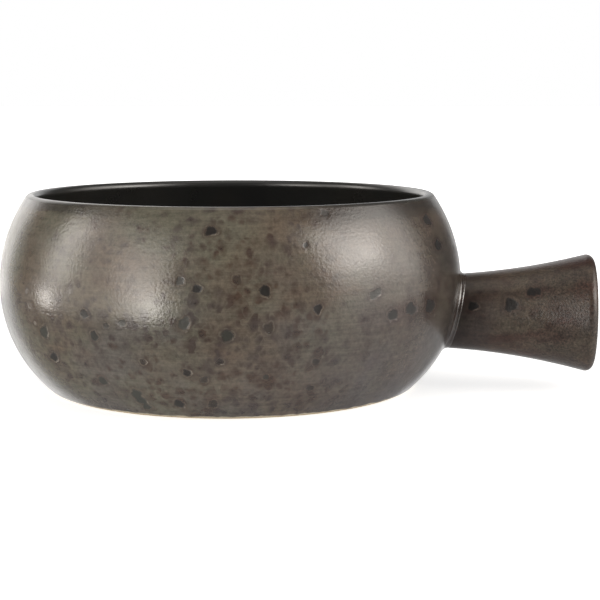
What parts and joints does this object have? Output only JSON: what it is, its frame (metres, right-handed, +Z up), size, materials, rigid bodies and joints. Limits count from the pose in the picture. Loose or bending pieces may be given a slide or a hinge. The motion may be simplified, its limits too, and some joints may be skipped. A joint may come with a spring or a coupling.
{
  "type": "soup crock",
  "caption": "Round-bellied stoneware onion soup crock with a flared hollow side handle, black inside and brown reactive glaze outside, for serving gratinated soup.",
  "frame": {"origin": "centre of the foot ring, on the plane that the crock stands on", "axes": "+Z up along the bowl's axis; +X from the bowl's axis along the handle"},
  "size_m": [0.1798, 0.14, 0.0587],
  "materials": {
    "bare_clay": "dry fired clay, fine grain",
    "handle_clay": "dry fired clay, fine grain",
    "glazed_slip": "satin brown glaze over slip",
    "black_glaze": "black satin gloss glaze",
    "brown_glaze": "satin grey-brown reactive glaze with dark specks",
    "underside_glaze": "satin brown glaze",
    "handle_glaze": "satin red-brown reactive glaze with dark specks"
  },
  "bodies": {
    "root": {"bowl_body": "bare_clay", "handle": "handle_clay", "luting_slip": "glazed_slip", "inner_glaze": "black_glaze", "outer_glaze": "brown_glaze", "underside_glaze": "underside_glaze", "handle_glaze": "handle_glaze"}
  },
  "joints": []
}
